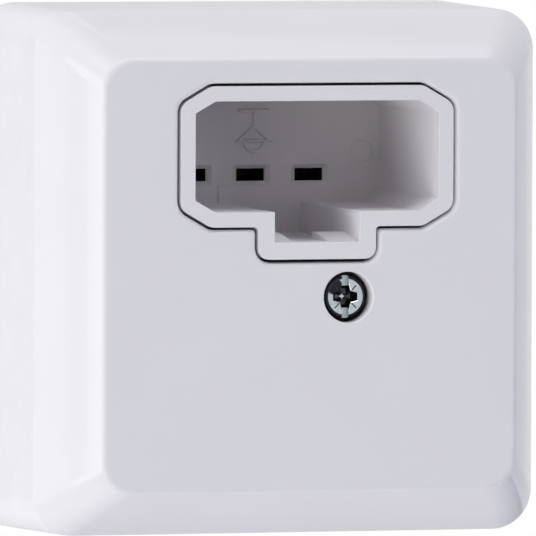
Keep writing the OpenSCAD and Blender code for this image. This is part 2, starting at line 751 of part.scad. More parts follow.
module base_upstand()
    translate([0, 0, base_t - cut / 2]) linear_extrude(upstand_h + cut / 2) difference() {
        polygon(rounded_square(base_half, base_corner_r));
        polygon(rounded_square(base_half - upstand_t, base_corner_r - upstand_t));
    }

// Stiffening ribs between the upstand and the plate, below each fixing screw
module base_ribs()
    for (s = [-1, 1]) for (y = [ear_y, block_ear_y])
        block(s * (base_half - upstand_t / 2 - base_rib_l / 2), y - base_rib_gap, base_t - cut / 2,
              base_rib_l, base_rib_t, base_rib_h + cut / 2);

// Arched bar that grips a surface cable
module cable_clamp() upright() color(inner_grey) {
    end = clamp_pitch / 2 + fixing_boss_d / 2;
    z = clamp_seat_z + clamp_t / 2;
    top = z + clamp_rise;
    arch = clamp_arch_w / 2;
    flat = clamp_top_w / 2;
    difference() {
        translate([clamp_x, clamp_y + clamp_w / 2, 0]) rotate([90, 0, 0]) linear_extrude(clamp_w)
            polygon(band([[-end, z], [-arch, z], [-flat, top], [flat, top], [arch, z], [end, z]], clamp_t));
        for (p = clamp_points) post(p.x, p.y, 0, fixing_d + 4 * play, body_depth);
    }
}

module clamp_screws() upright() color(zinc)
    for (p = clamp_points)
        slotted_screw(p.x, p.y, clamp_seat_z + clamp_t, fixing_d, clamp_seat_z + clamp_t - fixing_foot,
                      fixing_head_d, fixing_head_h, small_slot_w);

// Rubber ring in the base plate's cable hole, with a thinner lip round the cable
// and its flange cut flat along the upstand
module cable_grommet() upright() color(rubber) {
    neck = entry_d / 2 - play / 2;
    inner = neck - grommet_wall;
    hole = grommet_hole_d / 2;
    difference() {
        translate([-entry_x, entry_y, 0]) rotate_extrude() polygon([
            [hole, (base_t - grommet_lip_t) / 2], [inner, 0], [neck, 0], [neck, base_t],
            [neck + grommet_flange, base_t], [neck + grommet_flange, base_t + grommet_t],
            [inner, base_t + grommet_t], [hole, (base_t + grommet_lip_t) / 2]]);
        block(-entry_x, -base_half, -cut, entry_d + 2 * grommet_flange + cut,
              2 * (upstand_t + play), base_t + grommet_t + 2 * cut);
    }
}

cover();
cover_screw();
cover_nut();
socket_housing();
rear_insulator();
contact_live();
contact_neutral();
contact_earth();
terminal_live();
terminal_neutral();
terminal_earth();
wire_plate_live();
wire_plate_neutral();
wire_plate_earth();
terminal_screws();
terminal_block();
fixing_screws();
base_plate();
cable_clamp();
clamp_screws();
cable_grommet();
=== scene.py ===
"""Dresses the lamp outlet: smooth moulded meshes, plastic and metal finishes, light and camera.

Outlines are drawn as (x, z) pairs seen from the front, and a depth is a distance out from the wall.
"""
from math import acos, atan, cos, pi, radians, sin, tan

import bmesh
import bpy
from mathutils import Matrix, Vector
from mathutils.geometry import tessellate_polygon


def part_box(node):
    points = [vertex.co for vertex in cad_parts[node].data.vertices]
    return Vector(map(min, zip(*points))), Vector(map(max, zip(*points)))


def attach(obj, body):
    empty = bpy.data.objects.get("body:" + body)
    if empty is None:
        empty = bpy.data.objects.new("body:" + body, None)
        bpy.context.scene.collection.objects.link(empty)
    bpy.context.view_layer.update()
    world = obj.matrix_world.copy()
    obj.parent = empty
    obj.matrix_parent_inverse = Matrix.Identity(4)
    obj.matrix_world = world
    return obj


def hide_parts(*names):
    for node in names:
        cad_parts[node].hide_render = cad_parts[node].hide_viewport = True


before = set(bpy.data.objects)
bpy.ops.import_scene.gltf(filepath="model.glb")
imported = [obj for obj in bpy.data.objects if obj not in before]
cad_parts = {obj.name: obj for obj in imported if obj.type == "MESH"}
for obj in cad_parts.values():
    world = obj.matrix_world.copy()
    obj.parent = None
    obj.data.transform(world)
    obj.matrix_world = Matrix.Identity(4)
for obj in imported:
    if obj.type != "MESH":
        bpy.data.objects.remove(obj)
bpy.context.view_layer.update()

MM = 0.001

# Cover, in millimetres, as the solids have it but with tighter corners
COVER_LOW, COVER_HIGH = [[v / MM for v in corner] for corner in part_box("cover")]
BODY_W = COVER_HIGH[0] - COVER_LOW[0]
BODY_DEPTH = COVER_HIGH[1] - COVER_LOW[1]
SIDE_DRAFT = radians(0.95)
BEVEL_W = 6.0
BEVEL_DEPTH = 11.1
BEVEL_CROWN = 0.25
BODY_CORNER_R = 5.3
PLATE_CORNER_R = 4.0
RIM_CREASE_R = 0.7
PLATE_CREASE_R = 0.9
SIDE_WALL = 2.2
FRONT_WALL = 2.4
LIP_R = 0.7

# Socket, in millimetres
SOCKET_X = 0.9
SOCKET_Z = 15.36
CAVITY_W = 33.04
CAVITY_H = 14.32
CAVITY_DEPTH = 24.4
CAVITY_FLOOR = BODY_DEPTH - CAVITY_DEPTH
CUT_W = 2.7
CUT_ANGLE = radians(30)
TAB_W = 11.54
TAB_DROP = 3.96
RIM_W = 1.95
TAB_RIM_W = 2.2
RIM_CORNER_R = 1.8
TAB_CORNER_R = 1.45
TAB_ROOT_R = 0.5
COVER_GAP = 0.32
PIN_PITCH = 8.0
SLOT_SHIFT = 1.19
SLOT_DROP = 3.33
SLOT_W = 3.85
SLOT_H = 1.64
SLOT_LAND = 0.85
SLOT_RELIEF = 0.7
FLOOR_T = 2.0
RELIEF_SKIN = 0.05

# Relief on the floor of the cavity, in millimetres, its strokes' section as shares of their width
RELIEF_X = -0.02
RELIEF_H = 0.42
STROKE_W = 0.5
STROKE_FOOT = 0.5
STROKE_TOP = 0.22
MITRE_LIMIT = 0.4
CEILING_HALF = 2.1
CEILING_Z = 20.45
SHADE_HALF = 2.15
SHADE_TOP_Z = 18.3
SHADE_FOOT_Z = 16.5
BULB_R = 1.38
EJECTOR_MARK = (14.82, 15.03)
EJECTOR_R = 1.45
EJECTOR_W = 0.22
EJECTOR_H = 0.14

# Cover screw, in millimetres
SCREW_X = 5.15
SCREW_Z = -2.9
WELL_D = 6.6
WELL_LIP_R = 0.25
HEAD_SINK = 1.3
HEAD_H = 2.0
HEAD_D = 5.5
HEAD_EDGE_R = 0.5
HEAD_FACE = BODY_DEPTH - HEAD_SINK
SCREW_CENTRE = Vector((SCREW_X, SCREW_Z))
SHANK_D = 3.0
SHANK_LEN = 10.0
THREAD_PITCH = 0.6
THREAD_H = 0.22
THREAD_START, THREAD_CREST, THREAD_END = 0.1, 0.5, 0.9  # shares of the pitch
BLADE_SLOT_W = 0.85
BLADE_SLOT_DEPTH = 0.5
RECESS_ARM = 1.68
RECESS_ARM_W = 0.98
RECESS_CORNER = 0.74
RECESS_DEPTH = 1.3
RECESS_SHRINK = 0.62
RECESS_TIP_DEPTH = 1.6
RECESS_TIP_SHRINK = 0.17
RECESS_EDGE_R = 0.06
TICK_NEAR = 1.2
TICK_FAR = 2.05
TICK_W = 0.16
TICK_DEPTH = 0.12
# Painted shade: a dark ball over one quarter of the screw's face, where the sunk head lies in shade
PAINTED_SHADE_AT = (3.65, -HEAD_FACE, -1.55)
PAINTED_SHADE_R = 1.7
PAINTED_SHADE_EDGE = (0.3, 0.42)  # shares of the way in to the middle
# Lit and shaded copies of the screw's zinc: painted highlight on the face, painted shade in the
# recess, round the edge and on the slot floor
LIT_FINISH, SHADED_FINISH, SHADED_SLOT_FINISH = 0, 1, 2
FRONTAL, SIDEWAYS = 0.9, 0.98  # least share of a face's normal that makes it so

# Fineness of the meshes
CORNER_STEPS = 16
CREASE_STEPS = 8
CROWN_STEPS = 6
LIP_STEPS = 6
OPENING_STEPS = 5
WELL_STEPS = 96
BULB_STEPS = 20
EJECTOR_STEPS = 48
SOFT_EDGE_STEPS = 2

# Edges that are rounded or shaded smooth
SOCKET_EDGE_R = 0.12
BASE_EDGE_R = 0.2
SOFTENED_ANGLE = radians(32)
FLAT_ANGLE = radians(1)
SMOOTH_ANGLE = radians(40)
SCREW_SMOOTH_ANGLE = radians(30)

# How near, in millimetres, two levels or points count as one
TOLERANCE = 0.01
WELD = 0.002

# Camera, fitted to the straight edges of the object in the photograph
AIM = (-5.80, -36.8, 0.99)
DISTANCE = 1767.4
AZIMUTH = radians(17.76)
ELEVATION = radians(2.65)
ROLL = 0.0040
LENS_MM = 920.4
SENSOR_MM = 36
NEAREST_M = 0.1
FARTHEST_M = 20

# Light and floor, in millimetres and watts, fitted to the brightness of the faces in the photograph
ROOM_LIGHT = 0.04
FLOOR_Z = -700
FLOOR_HALF = 1500
FLOOR_COLOUR = (0.85, 0.85, 0.86)
FLOOR_ROUGHNESS = 0.9
LIT_POINT = Vector((0, -20, 0))
LAMPS = [
    # name, place, width and height, watts, colour
    ("left_panel", (-783, -186, 0), (598, 700), 4.36, (0.92, 0.947, 1.0)),
    ("left_back_panel", (-722, 324, 0), (297, 700), 0.6, (0.889, 0.944, 1.0)),
    ("left_front", (-500, -620, 111), (300, 600), 0.22, (1.0, 1.0, 1.0)),
    ("front_low", (-450, -550, -400), (400, 400), 1.63, (0.981, 1.0, 0.99)),
    ("top", (60, -120, 800), (600, 350), 2.6, (0.999, 0.97, 1.0)),
    ("top_front", (0, -330, 720), (500, 250), 1.84, (0.895, 0.971, 1.0)),
    ("top_back", (231, 120, 720), (600, 240), 0.41, (0.895, 0.981, 1.0)),
    ("top_left", (-480, -150, 620), (250, 250), 0.25, (1.0, 1.0, 1.0)),
    ("low_front", (0, -600, -550), (600, 350), 1.14, (0.888, 0.936, 1.0)),
    ("left_back", (-459, 635, 0), (300, 600), 0.89, (0.981, 1.0, 0.942)),
    ("right_front", (637, -498, 80), (400, 400), 1.39, (0.783, 0.821, 1.0)),
    ("right_low", (587, -294, -470), (400, 400), 1.03, (0.765, 0.789, 1.0)),
    ("behind", (150, 900, -250), (200, 150), 2.0, (1.0, 1.0, 1.0)),
]


# Plane geometry

def turned(v, angle):
    return Vector((v.x * cos(angle) - v.y * sin(angle), v.x * sin(angle) + v.y * cos(angle)))


def corner_arc(before, corner, after, radius, steps):
    """The arc that rounds a corner of an outline."""
    u = (before - corner).normalized()
    v = (after - corner).normalized()
    inside = acos(max(-1.0, min(1.0, u.dot(v))))
    centre = corner + (u + v).normalized() * radius / sin(inside / 2)
    start = corner + u * radius / tan(inside / 2) - centre
    side = 1 if (corner - before).cross(after - corner) > 0 else -1
    turn = side * (pi - inside)
    return [centre + turned(start, turn * i / steps) for i in range(steps + 1)]


def rounded(points, radii, steps):
    """A closed outline with a radius at each corner."""
    points = [Vector(p) for p in points]
    count = len(points)
    outline = []
    for i, radius in enumerate(radii):
        outline += corner_arc(points[i - 1], points[i], points[(i + 1) % count], radius, steps)
    return outline


def rounded_square(half, radius):
    square = [(half, -half), (half, half), (-half, half), (-half, -half)]
    return rounded(square, [radius] * 4, CORNER_STEPS)


def socket_outline(grow, tab_grow):
    """T-shaped outline of the socket, grown round the cavity and round the tab."""
    x = CAVITY_W / 2 + grow
    top = SOCKET_Z + CAVITY_H / 2 + grow
    low = SOCKET_Z - CAVITY_H / 2 - grow
    tab_x = TAB_W / 2 + tab_grow
    foot = SOCKET_Z - CAVITY_H / 2 - TAB_DROP - tab_grow
    cut_x = CUT_W + grow * (1 - tan(CUT_ANGLE / 2))
    cut_z = cut_x * tan(CUT_ANGLE)
    points = [(-tab_x, foot), (tab_x, foot), (tab_x, low), (x - cut_x, low), (x, low + cut_z),
              (x, top - cut_z), (x - cut_x, top), (-x + cut_x, top), (-x, top - cut_z),
              (-x, low + cut_z), (-x + cut_x, low), (-tab_x, low)]
    return [(SOCKET_X + px, pz) for px, pz in points]


def soft_socket_outline(grow, tab_grow, foot_r, root_r, cut_r):
    radii = [foot_r, foot_r, root_r] + [cut_r] * 8 + [root_r]
    return rounded(socket_outline(grow, tab_grow), radii, OPENING_STEPS)


def rectangle(x, z, half_w, half_h):
    corners = ((-1, -1), (1, -1), (1, 1), (-1, 1))
    return [Vector((x + i * half_w, z + j * half_h)) for i, j in corners]


def circle(x, z, radius, steps):
    turns = [2 * pi * i / steps for i in range(steps)]
    return [Vector((x + radius * cos(a), z + radius * sin(a))) for a in turns]


# Mesh building

def ring(bm, outline, depth):
    """Vertices along an outline at a distance out from the wall."""
    return [bm.verts.new((p.x * MM, -depth * MM, p.y * MM)) for p in outline]


def bridge(bm, a, b):
    """Quads between two rings of equal length."""
    faces = []
    for i in range(len(a)):
        j = (i + 1) % len(a)
        faces.append(bm.faces.new((a[i], a[j], b[j], b[i])))
    return faces


def bridge_all(bm, rings):
    faces = []
    for a, b in zip(rings, rings[1:]):
        faces += bridge(bm, a, b)
    return faces


def fill(bm, outer, holes=()):
    """A flat face inside the outer ring, open at each hole."""
    loops = [outer] + list(holes)
    flat = [v for loop in loops for v in loop]
    triangles = tessellate_polygon([[v.co for v in loop] for loop in loops])
    return [bm.faces.new([flat[i] for i in triangle]) for triangle in triangles]


def lofted(bm, sections):
    """Adds a closed body through outlines of equal length, each with its depth."""
    rings = [ring(bm, outline, depth) for outline, depth in sections]
    bridge_all(bm, rings)
    bm.faces.new(rings[0])
    bm.faces.new(rings[-1])
    return bm


def object_of(bm, name):
    """Turns a mesh under construction into an object of the scene."""
    mesh = bpy.data.meshes.new(name)
    bm.to_mesh(mesh)
    bm.free()
    made = bpy.data.objects.new(name, mesh)
    bpy.context.scene.collection.objects.link(made)
    return made


def carved(bm, cutters):
    """The body in bm less each cutter, as a mesh under construction."""
    for part in [bm] + cutters:
        bmesh.ops.recalc_face_normals(part, faces=part.faces)
    body = object_of(bm, "carving_blank")
    tools = [object_of(cutter, "carving_tool") for cutter in cutters]
    for tool in tools:
        cut = body.modifiers.new("cut", "BOOLEAN")
        cut.operation = "DIFFERENCE"
        cut.solver = "EXACT"
        cut.object = tool
    result = bmesh.new()
    result.from_object(body, bpy.context.evaluated_depsgraph_get())
    for scrap in [body] + tools:
        bpy.data.objects.remove(scrap)
    return result


def finished(bm, name, materials, smooth_angle=SMOOTH_ANGLE):
    """A finished object with its materials, shaded smooth except along its sharp edges."""
    bmesh.ops.recalc_face_normals(bm, faces=bm.faces)
    for face in bm.faces:
        face.smooth = True
    for edge in bm.edges:
        edge.smooth = len(edge.link_faces) == 2 and edge.calc_face_angle(0) < smooth_angle
    piece = object_of(bm, name)
    for material in materials:
        piece.data.materials.append(material)
    normals = piece.modifiers.new("even_normals", "WEIGHTED_NORMAL")
    normals.keep_sharp = True
    return piece


def dress(piece, slot, *nodes):
    """The piece rides on the outlet and stands for CAD nodes, which it hides; the slot is not used.
    """
    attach(piece, "root")
    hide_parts(*nodes)
    return piece


def softened(node, edge_mm):
    """A copy of a CAD node's mesh with its sharp edges rounded."""
    bm = bmesh.new()
    bm.from_mesh(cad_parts[node].data)
    bmesh.ops.remove_doubles(bm, verts=bm.verts, dist=WELD * MM)
    bmesh.ops.dissolve_limit(bm, angle_limit=FLAT_ANGLE, verts=bm.verts, edges=bm.edges)
    sharp = [edge for edge in bm.edges
             if len(edge.link_faces) == 2 and edge.calc_face_angle(0) > SOFTENED_ANGLE]
    bmesh.ops.bevel(bm, geom=sharp, offset=edge_mm * MM, segments=SOFT_EDGE_STEPS, profile=0.5,
                    affect="EDGES", clamp_overlap=True)
    return bm


# Materials

PLASTIC_IOR = 1.3
DRAW = (1, 0.03, 1)
RAMP_ENDS = (0.3, 0.7)
# Colour of the painted shade patch on the screw's face
PAINTED_SHADE_COLOUR = (0.02, 0.022, 0.028)


def new_material(name):
    material = bpy.data.materials.new(name)
    material.use_nodes = True
    nodes = material.node_tree.nodes
    return material, nodes, material.node_tree.links, nodes["Principled BSDF"]


def object_noise(nodes, links, scale, detail, roughness=0.5, squeeze=(1, 1, 1)):
    """Noise in the object's own space, so that it doesn't slide over the surface."""
    place = nodes.new("ShaderNodeTexCoord")
    stretch = nodes.new("ShaderNodeMapping")
    stretch.inputs["Scale"].default_value = squeeze
    noise = nodes.new("ShaderNodeTexNoise")
    noise.inputs["Scale"].default_value = scale
    noise.inputs["Detail"].default_value = detail
    noise.inputs["Roughness"].default_value = roughness
    links.new(place.outputs["Object"], stretch.inputs["Vector"])
    links.new(stretch.outputs["Vector"], noise.inputs["Vector"])
    return noise


def shade_by(nodes, links, factor, low, high):
    """Colour ramp from low to high by a factor."""
    ramp = nodes.new("ShaderNodeValToRGB")
    for stop, position, colour in zip(ramp.color_ramp.elements, RAMP_ENDS, (low, high)):
        stop.position = position
        stop.color = (*colour, 1)
    links.new(factor, ramp.inputs["Fac"])
    return ramp.outputs["Color"]


def mottled(nodes, links, shader, factor, colour, low, high=1.0):
    """Varies the base colour from low to high times itself."""
    ends = [[min(1.0, c * share) for c in colour] for share in (low, high)]
    links.new(shade_by(nodes, links, factor, *ends), shader.inputs["Base Color"])


def add_bump(nodes, links, shader, height, strength, distance_mm):
    bump = nodes.new("ShaderNodeBump")
    bump.inputs["Strength"].default_value = strength
    bump.inputs["Distance"].default_value = distance_mm * MM
    links.new(height, bump.inputs["Height"])
    links.new(bump.outputs["Normal"], shader.inputs["Normal"])


def vary_roughness(nodes, links, shader, factor, low, high):
    spread = nodes.new("ShaderNodeMapRange")
    spread.inputs["To Min"].default_value = low
    spread.inputs["To Max"].default_value = high
    links.new(factor, spread.inputs["Value"])
    links.new(spread.outputs["Result"], shader.inputs["Roughness"])


def moulded_plastic(name, colour, roughness, waviness=0.05, draw_lines=0.0):
    """Smooth moulded plastic, faintly mottled, and slightly wavy or with lines along the draw."""
    material, nodes, links, shader = new_material(name)
    mottle = object_noise(nodes, links, scale=90, detail=4).outputs["Fac"]
    mottled(nodes, links, shader, mottle, colour, low=0.992, high=1.008)
    vary_roughness(nodes, links, shader, mottle, low=roughness * 0.85, high=roughness * 1.15)
    if draw_lines:
        lines = object_noise(nodes, links, scale=2600, detail=2, squeeze=DRAW).outputs["Fac"]
        add_bump(nodes, links, shader, lines, strength=draw_lines, distance_mm=0.05)
    else:
        wave = object_noise(nodes, links, scale=160, detail=1).outputs["Fac"]
        add_bump(nodes, links, shader, wave, strength=waviness, distance_mm=0.05)
    shader.inputs["IOR"].default_value = PLASTIC_IOR
    return material


def grained_plastic(name, colour, roughness):
    """Moulded plastic with a fine eroded grain, which dulls its gloss."""
    material, nodes, links, shader = new_material(name)
    mottle = object_noise(nodes, links, scale=220, detail=4).outputs["Fac"]
    mottled(nodes, links, shader, mottle, colour, low=0.985, high=1.015)
    grain = object_noise(nodes, links, scale=2300, detail=3, roughness=0.55).outputs["Fac"]
    vary_roughness(nodes, links, shader, grain, low=roughness * 0.9, high=roughness * 1.1)
    add_bump(nodes, links, shader, grain, strength=0.35, distance_mm=0.06)
    shader.inputs["Specular IOR Level"].default_value = 0
    return material


def with_painted_shade_ball(nodes, links, colour, at, radius):
    """The colour, but dark within a ball round a place: a patch of painted shade."""
    place = nodes.new("ShaderNodeTexCoord")
    shift = nodes.new("ShaderNodeMapping")
    shift.inputs["Scale"].default_value = [1 / (radius * MM)] * 3
    shift.inputs["Location"].default_value = [-v / radius for v in at]
    links.new(place.outputs["Object"], shift.inputs["Vector"])
    ball = nodes.new("ShaderNodeTexGradient")
    ball.gradient_type = "SPHERICAL"
    links.new(shift.outputs["Vector"], ball.inputs["Vector"])
    edge = nodes.new("ShaderNodeMapRange")
    edge.inputs["From Min"].default_value, edge.inputs["From Max"].default_value = PAINTED_SHADE_EDGE
    links.new(ball.outputs["Fac"], edge.inputs["Value"])
    mix = nodes.new("ShaderNodeMix")
    mix.data_type = "RGBA"
    mix.inputs["B"].default_value = (*PAINTED_SHADE_COLOUR, 1)
    links.new(edge.outputs["Result"], mix.inputs["Factor"])
    links.new(colour, mix.inputs["A"])
    return mix.outputs["Result"]


def plated_steel(name, colour, roughness, shade_ball=None):
    """Zinc-plated steel: mottled blue passivation, fine turning marks and perhaps a patch of
    painted shade.
    """
    material, nodes, links, shader = new_material(name)
    shader.inputs["Metallic"].default_value = 1.0
    mottle = object_noise(nodes, links, scale=900, detail=5, roughness=0.6).outputs["Fac"]
    tone = shade_by(nodes, links, mottle, [c * 0.82 for c in colour], colour)
    if shade_ball:
        tone = with_painted_shade_ball(nodes, links, tone, *shade_ball)
    links.new(tone, shader.inputs["Base Color"])
    vary_roughness(nodes, links, shader, mottle, low=roughness * 0.7, high=roughness * 1.4)
    marks = object_noise(nodes, links, scale=5200, detail=3).outputs["Fac"]
    add_bump(nodes, links, shader, marks, strength=0.25, distance_mm=0.02)
    return material


def rolled_brass(name, colour):
    """Rolled brass strip with a soft streaky sheen."""
    material, nodes, links, shader = new_material(name)
    shader.inputs["Metallic"].default_value = 1.0
    streak = object_noise(nodes, links, scale=700, detail=4).outputs["Fac"]
    mottled(nodes, links, shader, streak, colour, low=0.85)
    vary_roughness(nodes, links, shader, streak, low=0.25, high=0.42)
    return material


def soft_rubber(name, colour):
    """Moulded rubber with a dry, slightly uneven skin."""
    material, nodes, links, shader = new_material(name)
    skin = object_noise(nodes, links, scale=1400, detail=3).outputs["Fac"]
    mottled(nodes, links, shader, skin, colour, low=0.8)
    vary_roughness(nodes, links, shader, skin, low=0.6, high=0.8)
    add_bump(nodes, links, shader, skin, strength=0.3, distance_mm=0.05)
    return material


WHITE = (0.80, 0.77, 0.785)
COVER_GLOSS = moulded_plastic("cover_gloss", WHITE, 0.1, waviness=0.03)
COVER_GRAIN = grained_plastic("cover_grain", (0.84, 0.81, 0.82), 0.5)
SOCKET_SATIN = moulded_plastic("socket_satin", WHITE, 0.32, draw_lines=0.12)
INNER_PLASTIC = grained_plastic("inner_plastic", (0.33, 0.34, 0.36), 0.55)
ZINC = plated_steel("zinc_plate", (0.62, 0.68, 0.76), 0.24)
BRASS = rolled_brass("brass_strip", (0.78, 0.58, 0.27))
# Bronze contact strip, darkened nearly to black as painted shade so that the slots read dark
CONTACT_SHADED_BRONZE = rolled_brass("contact_bronze_painted_shade", (0.04, 0.028, 0.02))
# Lit and shaded copies of the screw's zinc, as painted highlight and painted shade
ZINC_LIT_FACE = plated_steel("zinc_lit_face", (0.5, 0.545, 0.58), 0.24, (PAINTED_SHADE_AT, PAINTED_SHADE_R))
ZINC_SHADE = plated_steel("zinc_recess_painted_shade", (0.05, 0.05, 0.055), 0.3)
ZINC_SHADED_SLOT = plated_steel("zinc_blade_slot_painted_shade", (0.36, 0.42, 0.46), 0.3)
CHAMBER_SHADE = grained_plastic("chamber_shade", (0.03, 0.03, 0.032), 0.7)
RUBBER = soft_rubber("entry_rubber", (0.025, 0.025, 0.027))


# Cover

def side_half(depth):
    return BODY_W / 2 - depth * tan(SIDE_DRAFT)


def cover_profile():
    """(half width, depth) along the outside, and how many of its steps the grained wall takes."""
    rim = Vector((side_half(BODY_DEPTH - BEVEL_DEPTH), BODY_DEPTH - BEVEL_DEPTH))
    plate = Vector((rim.x - BEVEL_W, BODY_DEPTH))
    foot = Vector((side_half(0), 0))
    rim_arc = corner_arc(foot, rim, plate, RIM_CREASE_R, CREASE_STEPS)
    plate_arc = corner_arc(rim, plate, Vector((0, BODY_DEPTH)), PLATE_CREASE_R, CREASE_STEPS)
    start, end = rim_arc[-1], plate_arc[0]
    outward = turned((end - start).normalized(), -pi / 2)
    crown = []
    for i in range(1, CROWN_STEPS):
        t = i / CROWN_STEPS
        crown.append(start.lerp(end, t) + outward * BEVEL_CROWN * 4 * t * (1 - t))
    grained = 1 + len(rim_arc) // 3
    return [foot] + rim_arc + crown + plate_arc, grained


def cover_ring_r(half, plate_half):
    """Corner radius of the cover where its half width is half."""
    return PLATE_CORNER_R + (BODY_CORNER_R - PLATE_CORNER_R) * (half - plate_half) / BEVEL_W


def lip_steps(radius, steps):
    """(growth, depth below the front) round a convex edge, from the front face inwards."""
    return [(radius * (1 - sin(a)), radius * (1 - cos(a)))
            for a in [pi / 2 * i / steps for i in range(steps + 1)]]


def opening_outline(grow):
    """Edge of the cover's opening round the socket."""
    gap = RIM_W + COVER_GAP + grow
    tab_gap = TAB_RIM_W + COVER_GAP + grow
    return soft_socket_outline(gap, tab_gap, TAB_CORNER_R + COVER_GAP + grow, TAB_ROOT_R,
                               RIM_CORNER_R + COVER_GAP)


def make_cover():
    bm = bmesh.new()
    profile, grained = cover_profile()
    plate_half = side_half(BODY_DEPTH - BEVEL_DEPTH) - BEVEL_W
    outside = [ring(bm, rounded_square(p.x, cover_ring_r(p.x, plate_half)), p.y) for p in profile]
    grain_faces = bridge_all(bm, outside[:grained + 1])
    bridge_all(bm, outside[grained:])

    inner_front = BODY_DEPTH - FRONT_WALL
    bevel_angle = atan(BEVEL_W / BEVEL_DEPTH)
    inner_rim_half = side_half(BODY_DEPTH - BEVEL_DEPTH) - SIDE_WALL
    inner_rim_depth = BODY_DEPTH - BEVEL_DEPTH - SIDE_WALL * tan(bevel_angle / 2)
    inner_plate_half = inner_rim_half - (inner_front - inner_rim_depth) * BEVEL_W / BEVEL_DEPTH
    inner_profile = [(side_half(0) - SIDE_WALL, 0), (inner_rim_half, inner_rim_depth),
                     (inner_plate_half, inner_front)]
    inside = []
    for half, depth in inner_profile:
        radius = cover_ring_r(half + SIDE_WALL, plate_half) - SIDE_WALL
        inside.append(ring(bm, rounded_square(half, radius), depth))
    grain_faces += bridge(bm, outside[0], inside[0])
    bridge_all(bm, inside)

    opening = [ring(bm, opening_outline(grow), BODY_DEPTH - drop)
               for grow, drop in lip_steps(LIP_R, LIP_STEPS)]
    opening.append(ring(bm, opening_outline(0), inner_front))
    bridge_all(bm, opening)
    well = [ring(bm, circle(SCREW_X, SCREW_Z, WELL_D / 2 + grow, WELL_STEPS), BODY_DEPTH - drop)
            for grow, drop in lip_steps(WELL_LIP_R, LIP_STEPS)]
    well.append(ring(bm, circle(SCREW_X, SCREW_Z, WELL_D / 2, WELL_STEPS), inner_front))
    bridge_all(bm, well)
    fill(bm, outside[-1], [opening[0], well[0]])
    fill(bm, inside[-1], [opening[-1], well[-1]])

    for face in grain_faces:
        face.material_index = 1
    return finished(bm, "cover_shell", [COVER_GLOSS, COVER_GRAIN])


dress(make_cover(), "cover_plastic", "cover")


# Socket insert, with a hanging lamp and an ejector mark in relief on the floor of its cavity

def ridge(bm, path, closed, width, height, foot):
    """A low ridge along a path, rooted as far below the surface at foot as it rises above it."""
    section = [(-STROKE_FOOT, -height), (-STROKE_FOOT, 0), (-STROKE_TOP, height),
               (STROKE_TOP, height), (STROKE_FOOT, 0), (STROKE_FOOT, -height)]
    count = len(path)
    rows = []
    for i, point in enumerate(path):
        before = path[i - 1] if closed or i > 0 else point
        after = path[(i + 1) % count] if closed or i < count - 1 else point
        arriving = (point - before if point != before else after - point).normalized()
        leaving = (after - point).normalized() if after != point else arriving
        middle = (arriving + leaving).normalized()
        side = Vector((-middle.y, middle.x)) * width / max(MITRE_LIMIT, middle.dot(leaving))
        row = []
        for across, up in section:
            at = point + side * across
            row.append(bm.verts.new((at.x * MM, -(foot + up) * MM, at.y * MM)))
        rows.append(row)
    for a, b in zip(rows, rows[1:] + rows[:1] if closed else rows[1:]):
        bridge(bm, a, b)
    if not closed:
        bm.faces.new(rows[0])
        bm.faces.new(rows[-1])


def add_cavity_relief(bm):
    """A ceiling with a lamp that hangs from it by a stem, and the ring that an ejector pin left."""
    ceiling = [(-CEILING_HALF, CEILING_Z), (CEILING_HALF, CEILING_Z)]
    stem = [(0, CEILING_Z), (0, SHADE_TOP_Z)]
    shade = [(-SHADE_HALF, SHADE_FOOT_Z), (SHADE_HALF, SHADE_FOOT_Z), (0, SHADE_TOP_Z)]
    turns = [pi * i / BULB_STEPS for i in range(BULB_STEPS + 1)]
    bulb = [(BULB_R * cos(a), SHADE_FOOT_Z - BULB_R * sin(a)) for a in turns]
    for points, closed in ((ceiling, False), (stem, False), (shade, True), (bulb, False)):
        path = [Vector((RELIEF_X + x, z)) for x, z in points]
        ridge(bm, path, closed, STROKE_W, RELIEF_H, CAVITY_FLOOR)
    mark = circle(*EJECTOR_MARK, EJECTOR_R, EJECTOR_STEPS)
    ridge(bm, mark, True, EJECTOR_W, EJECTOR_H, CAVITY_FLOOR)


def slot_reliefs():
    """Room behind the land of each contact slot, so that the slots read as openings."""
    bm = bmesh.new()
    for i in (-1, 0, 1):
        shape = rectangle(SOCKET_X - SLOT_SHIFT + i * PIN_PITCH, SOCKET_Z - SLOT_DROP,
                          SLOT_W / 2 + SLOT_RELIEF, SLOT_H / 2 + SLOT_RELIEF)
        lofted(bm, [(shape, CAVITY_FLOOR - SLOT_LAND),
                    (shape, CAVITY_FLOOR - FLOOR_T + RELIEF_SKIN)])
    return bm


def make_socket():
    bm = carved(softened("socket_housing", SOCKET_EDGE_R), [slot_reliefs()])
    land_end = CAVITY_FLOOR - SLOT_LAND + TOLERANCE
    for face in bm.faces:
        behind_slots = -face.calc_center_median().y / MM < land_end
        face.material_index = 1 if behind_slots else 0
    add_cavity_relief(bm)
    return finished(bm, "socket_shell", [SOCKET_SATIN, CHAMBER_SHADE])


dress(make_socket(), "socket_plastic", "socket_housing")


# Base plate

dress(finished(softened("base_plate", BASE_EDGE_R), "base_plate_skin", [INNER_PLASTIC]),
      "inner_plastic", "base_plate")


# Cover screw

def recess_outline(size):
    """Four-armed driver recess with cut inner corners."""
    arm, half, corner = RECESS_ARM * size, RECESS_ARM_W / 2 * size, RECESS_CORNER * size
    quarter = [Vector((arm, -half)), Vector((arm, half)), Vector((corner, corner))]
    return [SCREW_CENTRE + turned(p, pi / 2 * i) for i in range(4) for p in quarter]


